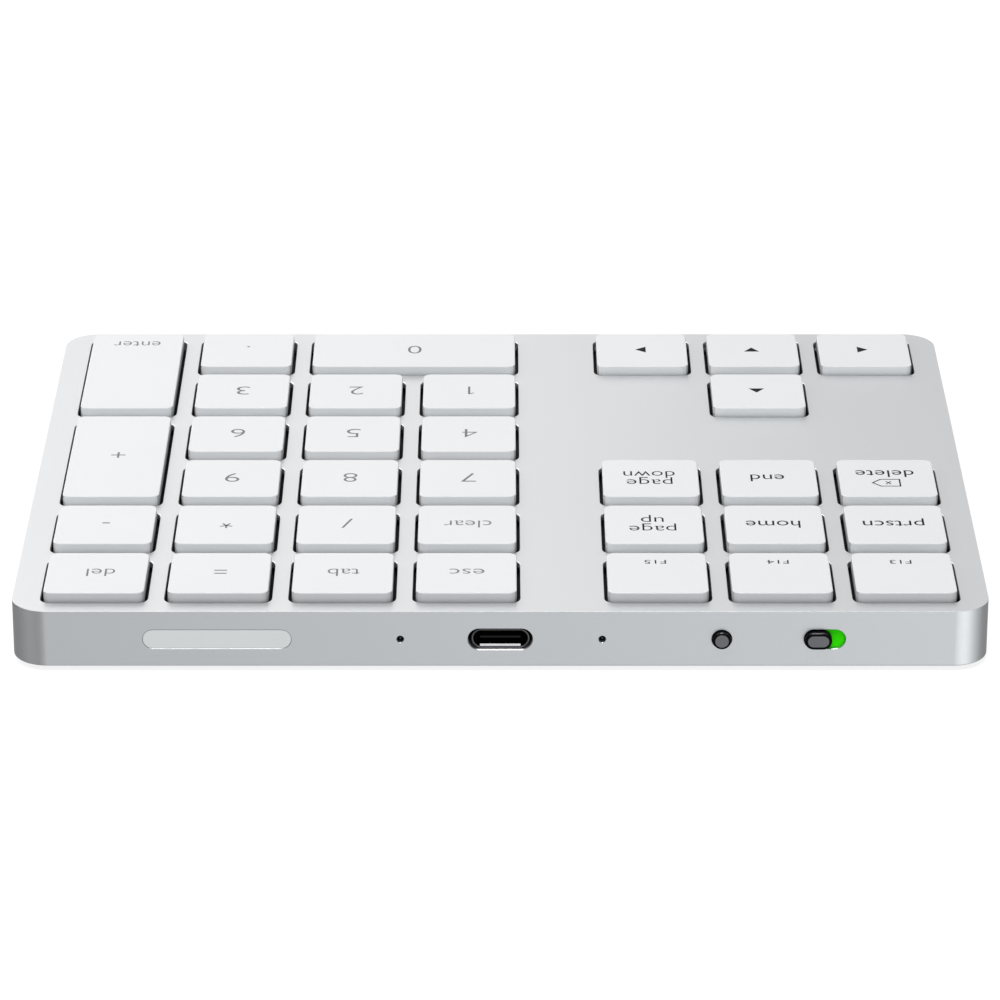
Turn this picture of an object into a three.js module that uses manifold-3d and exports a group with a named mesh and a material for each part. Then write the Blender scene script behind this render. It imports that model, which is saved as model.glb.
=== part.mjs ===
// Low-profile numeric keypad with a navigation cluster, millimetres, +Z up.
// The origin is the middle of the footprint at floor level. The user sits on the -Y side and the ports face +Y.
// Pieces are drawn about the slab's own middle, then shifted by ORIGIN_Y, as the power knob stands out behind.
import * as THREE from "three";
import { mergeVertices } from "three/addons/utils/BufferGeometryUtils.js";
import Module from "manifold-3d";

// Slab
const CASE_X = 150;
const CASE_Y = 115;
const CASE_CORNER_R = 5.5;
const CASE_BOTTOM_Z = 0.85;
const CASE_TOP_Z = 10;
const TOP_WALL = 1;
const SIDE_WALL = 2;
const RIM_WALL = 1.2;
const RIM_TOP_Z = 1.95;
const EDGE_CHAMFER = 0.15;

// Keys: a grid of 19.05 mm columns in two clusters, and six rows
const PITCH_X = 19.05;
const PITCH_Y = 18.53;
const KEY_X = 15.49;
const KEY_Y = 15.09;
const KEY_CORNER_R = 1.3;
const KEY_PROUD = 1.5;
const KEY_BOTTOM_Z = 9.3;
const KEY_SKIN = 1;
const KEY_FILLET = 0.28;
const SLOT_GAP = 0.53;
const NAV_COLUMN_1 = -62.36;
const NUM_COLUMN_1 = 5.21;
const ROW_1 = 2.5 * PITCH_Y;

// Layers under the keys
const PLATE_Z = [7.15, 7.45];
const MEMBRANE_Z = [7.5, 7.75];
const DOME_SHEET_Z = [7.8, 7.95];
const DOME_TOP_Z = 10.4;
const DOME_R = [2.7, 1.5];
const DOME_SKIN = 0.45;
const SHEET_X = 142;
const SHEET_Y = 107.6;

// Rear wall: everything sits on one line above the board
const PORT_Z = 5.45;
const REAR_Y = CASE_Y / 2;
const WINDOW = { x: 43.35, w: 22.7, h: 3.1 };
const LIGHT_X = [15.3, -15.6];
const LIGHT_R = 0.55;
const USB_CUT = { w: 10, h: 3.5 };
const USB_SHELL = { w: 8.94, h: 3.2, wall: 0.3, depth: 7.3, recess: 0.35 };
const USB_TONGUE = { w: 6.6, h: 0.7 };
const PAIR_X = -33.9;
const PAIR_HOLE_R = 1.6;
const PAIR_BUTTON_R = 1.3;
const PAIR_PROUD = 0.85;
const PAIR_FLANGE_Y = [54, 55.1];
const POWER_X = -49.65;
const POWER_SLOT = { w: 6.5, h: 3.35 };
const KNOB = { x: -48.65, w: 4.2, h: 2.8, y: 57.05, proud: 1, travel: 2 };
const STEM = { x: -47.65, w: 0.8, h: 1.2, y: 50.6 };
const INDICATOR_Y = 56.95;
const ORIGIN_Y = -KNOB.proud / 2;

// Inside
const BOARD = { x: [-57, 57], y: [33, 55.2], z: [3, 3.8] };
const BATTERY = { x: [-8, 56], y: [-48, 22], z: [2.1, 5.6] };
const COVER_T = 1;
const FOOT_R = 5.5;
const FOOT_POCKET = 0.3;
const FOOT_X = 62;
const FOOT_Y = 45.5;
const BAR_R = 0.35;
const BAR_ARM = 5;
const BAR_Z = 9.55;
const BAR_DROP = 1.15;
const STAKES = [[-9.5, 20], [-9.5, -20], [-52.8, -9.3], [-43.3, -9.3]];
const STAKE_R = 0.9;
const STANDOFFS = [[-54, 36], [54, 36], [-20, 36], [20, 36]];
const STANDOFF_R = 1.8;
const FIT = 0.05;
const FLAT = 0.001;

const wasm = await Module();
wasm.setup();

const NAV = [0, 1, 2].map((i) => NAV_COLUMN_1 + i * PITCH_X);
const NUM = [0, 1, 2, 3].map((i) => NUM_COLUMN_1 + i * PITCH_X);
const ROW = [0, 1, 2, 3, 4, 5].map((i) => ROW_1 - i * PITCH_Y);

// name: [x, y, width, depth]
const KEYS = {};
const addRow = (row, columns, names) => {
  names.forEach((name, i) => (KEYS[name] = [columns[i], ROW[row], KEY_X, KEY_Y]));
};
addRow(0, [...NAV, ...NUM], ["f13", "f14", "f15", "esc", "tab", "equals", "del"]);
addRow(1, [...NAV, ...NUM], ["prtscn", "home", "page_up", "clear", "divide", "multiply", "minus"]);
addRow(2, [...NAV, ...NUM.slice(0, 3)], ["delete", "end", "page_down", "7", "8", "9"]);
addRow(3, NUM, ["4", "5", "6"]);
addRow(4, [NAV[1], ...NUM.slice(0, 3)], ["arrow_up", "1", "2", "3"]);
addRow(5, [...NAV, NUM[2]], ["arrow_left", "arrow_down", "arrow_right", "decimal"]);
const TALL_Y = KEY_Y + PITCH_Y;
const WIDE_X = KEY_X + PITCH_X;
KEYS.plus = [NUM[3], (ROW[2] + ROW[3]) / 2, KEY_X, TALL_Y];
KEYS.enter = [NUM[3], (ROW[4] + ROW[5]) / 2, KEY_X, TALL_Y];
KEYS["0"] = [(NUM[0] + NUM[1]) / 2, ROW[5], WIDE_X, KEY_Y];

// ---------------------------------------------------------------- solids

function toSolid(geometry) {
  const bare = geometry.clone();
  bare.deleteAttribute("normal");
  bare.deleteAttribute("uv");
  const merged = mergeVertices(bare, 1e-5);
  return new wasm.Manifold(
    new wasm.Mesh({
      numProp: 3,
      vertProperties: new Float32Array(merged.attributes.position.array),
      triVerts: new Uint32Array(merged.index.array),
    })
  );
}

const join = (list) => list.reduce((a, b) => a.add(b));
const cut = (solid, tools) => tools.reduce((a, b) => a.subtract(b), solid);

// A rounded rectangle's outline, counter-clockwise, with n steps in each corner
function outline(w, d, r, n) {
  const points = [];
  for (let corner = 0; corner < 4; corner++) {
    const sx = corner === 0 || corner === 3 ? 1 : -1;
    const sy = corner < 2 ? 1 : -1;
    for (let k = 0; k <= n; k++) {
      const a = (corner + k / n) * (Math.PI / 2);
      points.push([sx * (w / 2 - r) + r * Math.cos(a), sy * (d / 2 - r) + r * Math.sin(a)]);
    }
  }
  return points;
}

// A closed body through rounded rectangles [w, d, r, z], listed from the bottom up
function stack(x, y, rings, n = 2) {
  const position = [];
  const index = [];
  const count = 4 * (n + 1);
  for (const [w, d, r, z] of rings) {
    for (const [px, py] of outline(w, d, r, n)) position.push(x + px, y + py, z);
  }
  for (let i = 0; i + 1 < rings.length; i++) {
    for (let k = 0; k < count; k++) {
      const a = i * count + k;
      const b = i * count + ((k + 1) % count);
      index.push(a, b, b + count, a, b + count, a + count);
    }
  }
  const top = (rings.length - 1) * count;
  for (let k = 1; k + 1 < count; k++) {
    index.push(0, k + 1, k, top, top + k, top + k + 1);
  }
  const geometry = new THREE.BufferGeometry();
  geometry.setAttribute("position", new THREE.Float32BufferAttribute(position, 3));
  geometry.setIndex(index);
  return toSolid(geometry);
}

const slab = (x, y, w, d, r, z0, z1, n = 2) => stack(x, y, [[w, d, r, z0], [w, d, r, z1]], n);

function block(x, y, z) {
  const box = new THREE.BoxGeometry(x[1] - x[0], y[1] - y[0], z[1] - z[0]);
  box.translate((x[0] + x[1]) / 2, (y[0] + y[1]) / 2, (z[0] + z[1]) / 2);
  return toSolid(box);
}

// A pill, full-radius at both ends, running along Y between y0 and y1
function pill(x, z, w, h, y0, y1, n = 6) {
  const points = outline(w, h, h / 2 - FLAT, n).map((p) => new THREE.Vector2(...p));
  const shape = new THREE.Shape(points);
  const geometry = new THREE.ExtrudeGeometry(shape, { depth: y1 - y0, bevelEnabled: false });
  geometry.rotateX(Math.PI / 2);
  geometry.translate(x, y1, z);
  return toSolid(geometry);
}

// A solid of revolution about a vertical line; the profile is [radius, z] from the axis round to the axis
function turned(x, y, profile, n) {
  const geometry = new THREE.LatheGeometry(profile.map(([r, z]) => new THREE.Vector2(r, z)), n);
  geometry.rotateX(Math.PI / 2);
  geometry.translate(x, y, 0);
  return toSolid(geometry);
}

const post = (x, y, r, z0, z1, n = 10) => turned(x, y, [[0, z0], [r, z0], [r, z1], [0, z1]], n);
const stakeHoles = () =>
  STAKES.map(([x, y]) => post(x, y, STAKE_R + 0.2, PLATE_Z[0] - 1, DOME_SHEET_Z[1] + 0.5));

// A round rod through points, with n sides
function rod(points, r, n = 6) {
  const path = new THREE.CurvePath();
  for (let i = 0; i + 1 < points.length; i++) {
    path.add(new THREE.LineCurve3(new THREE.Vector3(...points[i]), new THREE.Vector3(...points[i + 1])));
  }
  const pieces = path.curves.map((line) => {
    const along = new THREE.Vector3().subVectors(line.v2, line.v1);
    const geometry = new THREE.CylinderGeometry(r, r, along.length() + r, n);
    const up = new THREE.Vector3(0, 1, 0);
    geometry.applyQuaternion(new THREE.Quaternion().setFromUnitVectors(up, along.clone().normalize()));
    geometry.translate(...line.v1.clone().add(line.v2).multiplyScalar(0.5).toArray());
    return toSolid(geometry);
  });
  return join(pieces);
}

// ---------------------------------------------------------------- pieces

function topCase() {
  const outer = (inset, z) => [CASE_X - 2 * inset, CASE_Y - 2 * inset, CASE_CORNER_R - inset, z];
  let shell = stack(0, 0, [
    outer(EDGE_CHAMFER, CASE_BOTTOM_Z),
    outer(0, CASE_BOTTOM_Z + EDGE_CHAMFER),
    outer(0, CASE_TOP_Z - EDGE_CHAMFER),
    outer(EDGE_CHAMFER, CASE_TOP_Z),
  ], 6);
  const inside = [
    stack(0, 0, [outer(RIM_WALL, 0), outer(RIM_WALL, RIM_TOP_Z)], 4),
    stack(0, 0, [outer(SIDE_WALL, 1), outer(SIDE_WALL, CASE_TOP_Z - TOP_WALL)], 4),
  ];
  const stakes = STAKES.map(([x, y]) => post(x, y, STAKE_R, PLATE_Z[0] - 0.5, CASE_TOP_Z - TOP_WALL + 0.2));
  shell = join([cut(shell, inside), ...stakes]);
  const corner = KEY_CORNER_R + SLOT_GAP / 2;
  const slots = Object.values(KEYS).map(([x, y, w, d]) =>
    slab(x, y, w + 2 * SLOT_GAP, d + 2 * SLOT_GAP, corner, CASE_TOP_Z - 2, CASE_TOP_Z + 1)
  );
  const wall = [REAR_Y - SIDE_WALL - 1, REAR_Y + 1];
  const ports = [
    pill(WINDOW.x, PORT_Z, WINDOW.w + 2 * FIT, WINDOW.h + 2 * FIT, ...wall, 6),
    ...LIGHT_X.map((x) => pill(x, PORT_Z, 2 * LIGHT_R, 2 * LIGHT_R, ...wall, 3)),
    pill(0, PORT_Z, USB_CUT.w, USB_CUT.h, ...wall, 6),
    pill(PAIR_X, PORT_Z, 2 * PAIR_HOLE_R, 2 * PAIR_HOLE_R, ...wall, 4),
    pill(POWER_X, PORT_Z, POWER_SLOT.w, POWER_SLOT.h, ...wall, 6),
  ];
  return cut(shell, [...slots, ...ports]);
}

function bottomCover() {
  const inset = RIM_WALL + 0.2;
  const size = [CASE_X - 2 * inset, CASE_Y - 2 * inset, CASE_CORNER_R - inset];
  const plate = slab(0, 0, ...size, CASE_BOTTOM_Z, CASE_BOTTOM_Z + COVER_T, 4);
  const top = CASE_BOTTOM_Z + COVER_T;
  const standoffs = STANDOFFS.map(([x, y]) => post(x, y, STANDOFF_R, top - 0.3, BOARD.z[0] - FIT));
  const pockets = footSpots().map(([x, y]) => post(x, y, FOOT_R + 0.1, 0, CASE_BOTTOM_Z + FOOT_POCKET, 20));
  return cut(join([plate, ...standoffs]), pockets);
}

function footSpots() {
  return [[-1, -1], [1, -1], [-1, 1], [1, 1]].map(([i, j]) => [i * FOOT_X, j * FOOT_Y]);
}

function foot([x, y]) {
  const top = CASE_BOTTOM_Z + FOOT_POCKET - FIT;
  return turned(x, y, [[0, 0], [FOOT_R - 0.3, 0], [FOOT_R, 0.3], [FOOT_R, top], [0, top]], 20);
}

function keycap([x, y, w, d]) {
  const top = CASE_TOP_Z + KEY_PROUD;
  const ring = (inset, z) => [w - 2 * inset, d - 2 * inset, KEY_CORNER_R - inset / 2, z];
  const outside = stack(x, y, [
    ring(0, KEY_BOTTOM_Z),
    ring(0, top - KEY_FILLET),
    ring(KEY_FILLET * 0.3, top - KEY_FILLET * 0.3),
    ring(KEY_FILLET, top),
  ]);
  const wall = 0.9;
  const hollow = slab(x, y, w - 2 * wall, d - 2 * wall, 0.5, KEY_BOTTOM_Z - 1, top - KEY_SKIN, 1);
  return outside.subtract(hollow);
}

function domeSheet() {
  const sheet = slab(0, 0, SHEET_X, SHEET_Y, 3, ...DOME_SHEET_Z, 1);
  const [low, high] = DOME_SHEET_Z;
  const domes = Object.values(KEYS).map(([x, y]) =>
    turned(x, y, [[0, low], [DOME_R[0], low], [DOME_R[0], high], [DOME_R[1], DOME_TOP_Z], [0, DOME_TOP_Z]], 8)
  );
  const inner = DOME_R.map((r) => r - DOME_SKIN);
  const ceiling = DOME_TOP_Z - 2 * DOME_SKIN;
  const hollows = Object.values(KEYS).map(([x, y]) =>
    turned(x, y, [[0, low - 1], [inner[0], low - 1], [inner[0], high], [inner[1], ceiling], [0, ceiling]], 6)
  );
  return cut(join([sheet, ...domes]), [...hollows, ...stakeHoles()]);
}

function supportPlate() {
  const plate = slab(0, 0, CASE_X - 2 * SIDE_WALL - 1, CASE_Y - 2 * SIDE_WALL - 1, 3, ...PLATE_Z, 2);
  const ribbonSlot = block([-22, -10], [50, 52], [PLATE_Z[0] - 1, PLATE_Z[1] + 1]);
  return cut(plate, [ribbonSlot, ...stakeHoles()]);
}

function mainBoard() {
  const [low, high] = BOARD.z;
  const board = block(BOARD.x, BOARD.y, BOARD.z);
  const chips = [[5, 40, 7, 7, 0.9], [-12, 38, 4, 4, 0.8], [20, 44, 3.2, 2.5, 1], [-26, 40, 5, 3, 0.7]].map(
    ([x, y, w, d, h]) => block([x - w / 2, x + w / 2], [y - d / 2, y + d / 2], [low + 0.2, high + h])
  );
  const socket = block([-23, -9], [44.5, 47.5], [low + 0.2, high + 1.3]);
  const lights = LIGHT_X.map((x) => block([x - 0.8, x + 0.8], [51.6, 53], [low + 0.2, high + 1.9]));
  return join([board, ...chips, socket, ...lights]);
}

function wirelessModule() {
  const top = BOARD.z[1] + FIT;
  const carrier = block([33, 53.7], [41, 54.6], [top, top + 0.8]);
  const can = block([34, 46], [42, 50], [top + 0.4, top + 2.2]);
  return carrier.add(can);
}

function batteryPack() {
  const { x, y, z } = BATTERY;
  const middle = [(x[0] + x[1]) / 2, (y[0] + y[1]) / 2];
  const size = [x[1] - x[0], y[1] - y[0]];
  return stack(...middle, [
    [size[0] - 1, size[1] - 1, 1.5, z[0]],
    [size[0], size[1], 2, z[0] + 0.5],
    [size[0], size[1], 2, z[1] - 0.5],
    [size[0] - 1, size[1] - 1, 1.5, z[1]],
  ]);
}

// From the membrane layer it passes down through the support plate's slot to the socket on the board
function ribbonCable() {
  const y = [48, 51.4];
  const t = 0.15;
  const low = BOARD.z[1] + 0.6;
  const width = [-21.5, -10.5];
  return join([
    block(width, [y[0], y[1]], [low, low + t]),
    block(width, [y[1] - t, y[1]], [low, MEMBRANE_Z[0] - 0.01]),
  ]);
}

function usbShell() {
  const { w, h, wall, depth } = USB_SHELL;
  const mouth = REAR_Y - USB_SHELL.recess;
  const tube = pill(0, PORT_Z, w, h, mouth - depth, mouth);
  return tube.subtract(pill(0, PORT_Z, w - 2 * wall, h - 2 * wall, mouth - depth - 1, mouth + 1));
}

function usbTongue() {
  const { w, h, wall, depth } = USB_SHELL;
  const mouth = REAR_Y - USB_SHELL.recess;
  const gap = wall + FIT;
  const plug = pill(0, PORT_Z, w - 2 * gap, h - 2 * gap, mouth - depth + 0.3, mouth - depth + 2);
  const [a, b] = [USB_TONGUE.w / 2, USB_TONGUE.h / 2];
  const tongue = block([-a, a], [mouth - depth + 1, mouth - 0.6], [PORT_Z - b, PORT_Z + b]);
  return plug.add(tongue);
}

// The knob's stem runs through the indicator plate into the switch body; both have a slot for its travel
const stemSlot = (y0, y1) => {
  const x = [STEM.x - KNOB.travel - STEM.w / 2 - 0.1, STEM.x + STEM.w / 2 + 0.1];
  return block(x, [y0, y1], [PORT_Z - STEM.h / 2 - 0.1, PORT_Z + STEM.h / 2 + 0.1]);
};

function switchBody() {
  const body = block([-54.2, -45.1], [48.6, 54.2], [BOARD.z[1] + FIT, 6.95]);
  return body.subtract(stemSlot(STEM.y - 0.3, 55));
}

// The coloured half of the slot's floor, which the knob uncovers when it is on
function onIndicator() {
  const plate = block([-54.2, -45.1], [54.3, 55.3], [BOARD.z[1] + 0.1, 6.95]);
  const [w, h] = [POWER_SLOT.w - 2 * FIT, POWER_SLOT.h - 2 * FIT];
  const floor = pill(POWER_X, PORT_Z, w, h, 55, INDICATOR_Y, 6);
  const hidden = block([KNOB.x, POWER_X + POWER_SLOT.w], [55.3, 58], [PORT_Z - 3, PORT_Z + 3]);
  return join([plate, floor.subtract(hidden)]).subtract(stemSlot(54, 58));
}

function powerKnob() {
  const head = pill(KNOB.x, PORT_Z, KNOB.w, KNOB.h, KNOB.y, REAR_Y + KNOB.proud, 5);
  const stem = block(
    [STEM.x - STEM.w / 2, STEM.x + STEM.w / 2],
    [STEM.y, KNOB.y + 0.5],
    [PORT_Z - STEM.h / 2, PORT_Z + STEM.h / 2]
  );
  return head.add(stem);
}

function pairingButton() {
  const r = PAIR_BUTTON_R;
  const cap = pill(PAIR_X, PORT_Z, 2 * r, 2 * r, 54.9, REAR_Y + PAIR_PROUD, 5);
  const flange = pill(PAIR_X, PORT_Z, 4.4, 3, ...PAIR_FLANGE_Y, 4);
  return cap.add(flange);
}

function tactSwitch() {
  const body = block([PAIR_X - 1.75, PAIR_X + 1.75], [50, 53], [BOARD.z[1] + FIT, 7]);
  return body.add(pill(PAIR_X, PORT_Z, 1.6, 1.6, 52.5, 53.5, 3));
}

function lightPipe(x) {
  const pin = pill(x, PORT_Z, 2 * (LIGHT_R - FIT), 2 * (LIGHT_R - FIT), 54, REAR_Y - 0.15, 3);
  const collar = pill(x, PORT_Z, 2, 2, 53.2, 55.2, 3);
  return pin.add(collar);
}

function antennaWindow() {
  return pill(WINDOW.x, PORT_Z, WINDOW.w, WINDOW.h, REAR_Y - SIDE_WALL + 0.1, REAR_Y, 6);
}

// The long side hangs in the key's hooks at BAR_Z; two arms slope down towards the hooks on the support plate
function stabiliser(name, axis) {
  const [x, y, w, d] = KEYS[name];
  const half = (axis === "x" ? w : d) / 2 - 2.2;
  const side = (axis === "x" ? d : w) / 2 - 1.6;
  const reach = Math.sqrt(BAR_ARM ** 2 - BAR_DROP ** 2);
  const at = (along, across, z) => (axis === "x" ? [x + along, y + across, z] : [x + across, y + along, z]);
  return rod([
    at(-half, side - reach, BAR_Z - BAR_DROP),
    at(-half, side, BAR_Z),
    at(half, side, BAR_Z),
    at(half, side - reach, BAR_Z - BAR_DROP),
  ], BAR_R);
}

// ---------------------------------------------------------------- assembly

const LOOKS = {
  aluminium: { color: 0xc9ccd1, metalness: 0.9, roughness: 0.4 },
  steel: { color: 0xaeb2b8, metalness: 0.9, roughness: 0.35 },
  keycap: { color: 0xf4f5f7, metalness: 0, roughness: 0.45 },
  white: { color: 0xe4e7ec, metalness: 0, roughness: 0.5 },
  black: { color: 0x141517, metalness: 0, roughness: 0.4 },
  grey: { color: 0x55585e, metalness: 0, roughness: 0.5 },
  green: { color: 0x3fd62a, metalness: 0, roughness: 0.5 },
  board: { color: 0x1f5c3a, metalness: 0, roughness: 0.5 },
  rubber: { color: 0x9ea2a8, metalness: 0, roughness: 0.8 },
};

const group = new THREE.Group();
group.name = "numeric_keypad";

function add(name, solid, look) {
  const mesh = solid.translate([0, ORIGIN_Y, 0]).getMesh();
  const geometry = new THREE.BufferGeometry();
  geometry.setAttribute("position", new THREE.Float32BufferAttribute(mesh.vertProperties, mesh.numProp));
  geometry.setIndex(new THREE.Uint32BufferAttribute(mesh.triVerts, 1));
  const piece = new THREE.Mesh(geometry, new THREE.MeshStandardMaterial(LOOKS[look]));
  piece.name = name;
  group.add(piece);
}

add("top_case", topCase(), "aluminium");
add("bottom_cover", bottomCover(), "aluminium");
footSpots().forEach((spot, i) => {
  add(`foot_${["front_left", "front_right", "rear_left", "rear_right"][i]}`, foot(spot), "rubber");
});
for (const [name, spot] of Object.entries(KEYS)) add(`key_${name}`, keycap(spot), "keycap");
add("stabiliser_0", stabiliser("0", "x"), "steel");
add("stabiliser_plus", stabiliser("plus", "y"), "steel");
add("stabiliser_enter", stabiliser("enter", "y"), "steel");
add("dome_sheet", domeSheet(), "rubber");
add("membrane_sheet", cut(slab(0, 0, SHEET_X, SHEET_Y, 3, ...MEMBRANE_Z), stakeHoles()), "white");
add("support_plate", supportPlate(), "steel");
add("main_board", mainBoard(), "board");
add("wireless_module", wirelessModule(), "board");
add("ribbon_cable", ribbonCable(), "white");
add("battery_pack", batteryPack(), "grey");
add("usb_shell", usbShell(), "steel");
add("usb_tongue", usbTongue(), "black");
add("power_switch_body", switchBody(), "black");
add("power_on_indicator", onIndicator(), "green");
add("power_knob", powerKnob(), "grey");
add("pairing_button", pairingButton(), "grey");
add("pairing_tact_switch", tactSwitch(), "black");
add("light_pipe_left", lightPipe(LIGHT_X[1]), "black");
add("light_pipe_right", lightPipe(LIGHT_X[0]), "black");
add("antenna_window", antennaWindow(), "white");

export default group;
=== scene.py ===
"""Visual model of a slim numeric keypad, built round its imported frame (Blender 4.5, metres, +Z up).

The user sits on the -Y side and the ports face +Y. Every piece takes its place from the frame's own boxes.
"""

import math

import bmesh
import bpy
from mathutils import Matrix, Vector


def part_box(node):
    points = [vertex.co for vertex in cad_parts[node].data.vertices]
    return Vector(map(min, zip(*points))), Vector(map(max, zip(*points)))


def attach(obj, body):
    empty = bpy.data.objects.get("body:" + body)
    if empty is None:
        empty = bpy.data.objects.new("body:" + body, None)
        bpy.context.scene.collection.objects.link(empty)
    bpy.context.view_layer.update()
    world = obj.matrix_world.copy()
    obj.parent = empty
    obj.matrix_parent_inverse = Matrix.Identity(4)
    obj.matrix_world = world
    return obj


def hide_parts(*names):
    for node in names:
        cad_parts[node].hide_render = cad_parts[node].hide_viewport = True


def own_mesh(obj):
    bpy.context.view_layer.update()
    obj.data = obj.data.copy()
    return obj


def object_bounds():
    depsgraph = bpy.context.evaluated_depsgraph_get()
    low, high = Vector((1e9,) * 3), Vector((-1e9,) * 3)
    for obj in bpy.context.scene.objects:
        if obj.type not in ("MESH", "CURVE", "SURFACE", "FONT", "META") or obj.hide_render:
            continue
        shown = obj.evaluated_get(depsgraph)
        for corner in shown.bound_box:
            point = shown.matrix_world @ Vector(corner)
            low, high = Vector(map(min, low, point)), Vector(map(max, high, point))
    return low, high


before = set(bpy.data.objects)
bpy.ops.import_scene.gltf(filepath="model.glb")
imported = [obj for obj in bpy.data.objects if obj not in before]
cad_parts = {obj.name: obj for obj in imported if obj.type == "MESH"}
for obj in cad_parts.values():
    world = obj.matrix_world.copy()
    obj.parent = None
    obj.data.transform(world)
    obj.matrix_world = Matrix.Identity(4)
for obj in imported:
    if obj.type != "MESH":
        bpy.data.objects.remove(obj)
cad_low, cad_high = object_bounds()

MM = 0.001
SKIN = 0.01 * MM          # how far a remade surface stays inside the solid it stands for
KEY_NODES = sorted(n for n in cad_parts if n.startswith("key_"))
LONG_KEYS = ("key_0", "key_plus", "key_enter")
LIGHT_PIPES = ("light_pipe_left", "light_pipe_right")
SIDES = (-1, 1)
CORNERS = ((-1, -1), (1, -1), (-1, 1), (1, 1))
SMOOTH_ANGLE = 35         # faces that meet at less than this look smooth, in degrees


def mm(*lengths):
    """Lengths in millimetres, turned into metres."""
    return tuple(length * MM for length in lengths)


def box(node):
    """Low corner, high corner, centre and size of a node."""
    low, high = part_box(node)
    return low, high, (low + high) / 2, high - low


def centre_of(node):
    return box(node)[2]


def show(name, data):
    """A new object in the scene."""
    made = bpy.data.objects.new(name, data)
    bpy.context.scene.collection.objects.link(made)
    return made


# ------------------------ camera

CAMERA_SENSOR, CAMERA_LENS = 36, 179.02     # millimetres
CAMERA_X = 0.00004
CAMERA_BACK, CAMERA_RISE = 0.68906, 0.31830     # from the top edge of the rear wall
CAMERA_TILT = 23.507                        # degrees below level


def make_camera():
    """A long lens behind the keypad and above it, looking down on the ports and the upside-down keys."""
    _, high, _, _ = box("top_case")
    data = bpy.data.cameras.new("camera")
    data.sensor_width = CAMERA_SENSOR
    data.lens = CAMERA_LENS
    data.clip_start, data.clip_end = 0.05, 20
    camera = show("camera", data)
    camera.location = (CAMERA_X, high.y + CAMERA_BACK, high.z + CAMERA_RISE)
    camera.rotation_euler = (math.radians(90 - CAMERA_TILT), 0, math.pi)
    bpy.context.scene.camera = camera


make_camera()

# ------------------------ mesh tools


def outline(width, depth, radius, steps):
    """A rectangle with round corners about the origin, counter-clockwise."""
    points = []
    for corner, (sx, sy) in enumerate(((1, 1), (-1, 1), (-1, -1), (1, -1))):
        for k in range(steps + 1):
            angle = math.radians(90 * (corner + k / steps))
            x = sx * (width / 2 - radius) + radius * math.cos(angle)
            y = sy * (depth / 2 - radius) + radius * math.sin(angle)
            points.append((x, y))
    return points


def lying(centre, point, level):
    """An outline's point in a level plane, with the level along Z."""
    return centre[0] + point[0], centre[1] + point[1], level


def upright(centre, point, level):
    """An outline's point in a plane parallel to the rear wall, with the level along Y."""
    return centre[0] + point[0], level, centre[1] + point[1]


def skin(bm, rings, closed=False):
    """Faces between rings of equal length: capped at both ends, or closed on themselves."""
    made = [[bm.verts.new(point) for point in ring] for ring in rings]
    for low, high in zip(made, made[1:] + (made[:1] if closed else [])):
        for k in range(len(low)):
            after = (k + 1) % len(low)
            bm.faces.new((low[k], low[after], high[after], high[k]))
    if not closed:
        bm.faces.new(made[0][::-1])
        bm.faces.new(made[-1])
    return made


def stack(bm, plane, centre, size, radius, profile, steps=6, closed=False):
    """A skin through round-cornered rectangles. The profile lists (inset, level)."""
    rings = []
    for inset, level in profile:
        corner = min(max(radius - inset, 0.02 * MM), min(size) / 2 - inset - 0.001 * MM)
        points = outline(size[0] - 2 * inset, size[1] - 2 * inset, corner, steps)
        rings.append([plane(centre, point, level) for point in points])
    return skin(bm, rings, closed)


def rounded(start, end, radius, inset=0.0, steps=3):
    """A profile's straight side from level start to level end, with a round edge at the end."""
    sign = 1 if end > start else -1
    side = [(inset, start)]
    for k in range(steps + 1):
        angle = math.radians(90 * k / steps)
        lift = radius * (1 - math.sin(angle))
        side.append((inset + radius * (1 - math.cos(angle)), end - sign * lift))
    return side


def pillow(low, high, edge, steps=3):
    """A profile that is round at both ends."""
    middle = (low + high) / 2
    return rounded(middle, low, edge, steps=steps)[:0:-1] + rounded(middle, high, edge, steps=steps)[1:]


def brick(bm, low, high, edge=0.05 * MM):
    """A box with soft edges between two corners."""
    low, high = Vector(low), Vector(high)
    centre = (low + high) / 2
    size = (high.x - low.x, high.y - low.y)
    stack(bm, lying, centre, size, edge * 2, pillow(low.z, high.z, edge, 2), steps=2)


def peg(bm, spot, half, levels, edge=0.05 * MM):
    """A box with soft edges about a point in X and Y, given its half sizes there and its two levels."""
    (x, y), (half_x, half_y), (bottom, top) = spot, half, levels
    brick(bm, (x - half_x, y - half_y, bottom), (x + half_x, y + half_y, top), edge)


def turned(bm, centre, profile, steps=32, plane=lying):
    """A solid of revolution. The profile lists (radius, level), and flat ends close it to the axis."""
    profile = [(0, profile[0][1]), *profile] + [(0, profile[-1][1])] * (profile[-1][0] > 0)
    angles = [math.tau * k / steps for k in range(steps)]
    skin(bm, [[plane(centre, (radius * math.cos(a), radius * math.sin(a)), level) for a in angles]
              for radius, level in profile])


def wire(name, points, radius, look, smooth_corners=True):
    """A round wire through points, as a mesh."""
    curve = bpy.data.curves.new(name, "CURVE")
    curve.dimensions = "3D"
    curve.bevel_depth = radius
    curve.bevel_resolution = 3
    curve.use_fill_caps = True
    curve.resolution_u = 6
    spline = curve.splines.new("BEZIER" if smooth_corners else "POLY")
    targets = spline.bezier_points if smooth_corners else spline.points
    targets.add(len(points) - 1)
    for target, point in zip(targets, points):
        if smooth_corners:
            target.co = point
            target.handle_left_type = target.handle_right_type = "AUTO"
        else:
            target.co = (*point, 1)
    return settle(show(name, curve), name, look)


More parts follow.
